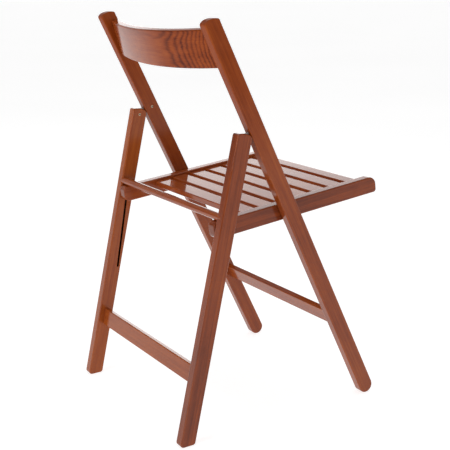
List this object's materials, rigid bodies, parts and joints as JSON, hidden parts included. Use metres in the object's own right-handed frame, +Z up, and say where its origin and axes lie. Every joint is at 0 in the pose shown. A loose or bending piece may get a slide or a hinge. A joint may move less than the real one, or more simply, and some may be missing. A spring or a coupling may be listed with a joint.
{
  "type": "folding chair",
  "caption": "Wooden folding chair: slanted posts with a bent back rest, a slatted seat that pivots on the posts, and a rear frame on steel hinge plates.",
  "frame": {"origin": "floor level, midway between the sides and midway between the front and rear extents of the open chair", "axes": "+Z up, -Y towards the front of the chair (the way a sitter faces), +X towards the sitter's left"},
  "size_m": [0.43, 0.4804, 0.7867],
  "materials": {
    "frame_wood": "satin lacquer over reddish brown stain",
    "slat_wood": "semi-gloss lacquer over reddish brown stain",
    "steel": "plain zinc plated steel"
  },
  "bodies": {
    "long_frame": {"left_post": "frame_wood", "right_post": "frame_wood", "back_slat": "frame_wood", "front_stretcher": "frame_wood", "front_stretcher_dowels": "frame_wood", "left_hinge_plate": "steel", "right_hinge_plate": "steel", "post_hinge_pins": "steel", "seat_pivot_pins": "steel"},
    "rear_frame": {"left_rear_leg": "frame_wood", "right_rear_leg": "frame_wood", "rear_stretcher": "frame_wood", "rear_stretcher_dowels": "frame_wood", "rear_rod": "frame_wood", "leg_hinge_pins": "steel"},
    "seat": {"left_seat_rail": "frame_wood", "right_seat_rail": "frame_wood", "guide_pins": "steel", "seat_slat_1": "slat_wood", "seat_slat_2": "slat_wood", "seat_slat_3": "slat_wood", "seat_slat_4": "slat_wood", "seat_slat_5": "slat_wood", "seat_slat_6": "slat_wood", "seat_slat_7": "slat_wood"}
  },
  "joints": [
    {"name": "seat_pivot", "type": "hinge", "parent": "long_frame", "child": "seat", "pos_m": [0, -0.01324, 0.41596], "axis": [-1, 0, 0], "range_deg": [0, 103.83]},
    {"name": "rear_frame_hinge", "type": "hinge", "parent": "long_frame", "child": "rear_frame", "pos_m": [0, 0.09233, 0.56832], "axis": [-1, 0, 0], "range_deg": [0, 38.76]}
  ],
  "couplings": [
    {"joint": "rear_frame_hinge", "follows": "seat_pivot", "ratio": 0.37328}
  ]
}
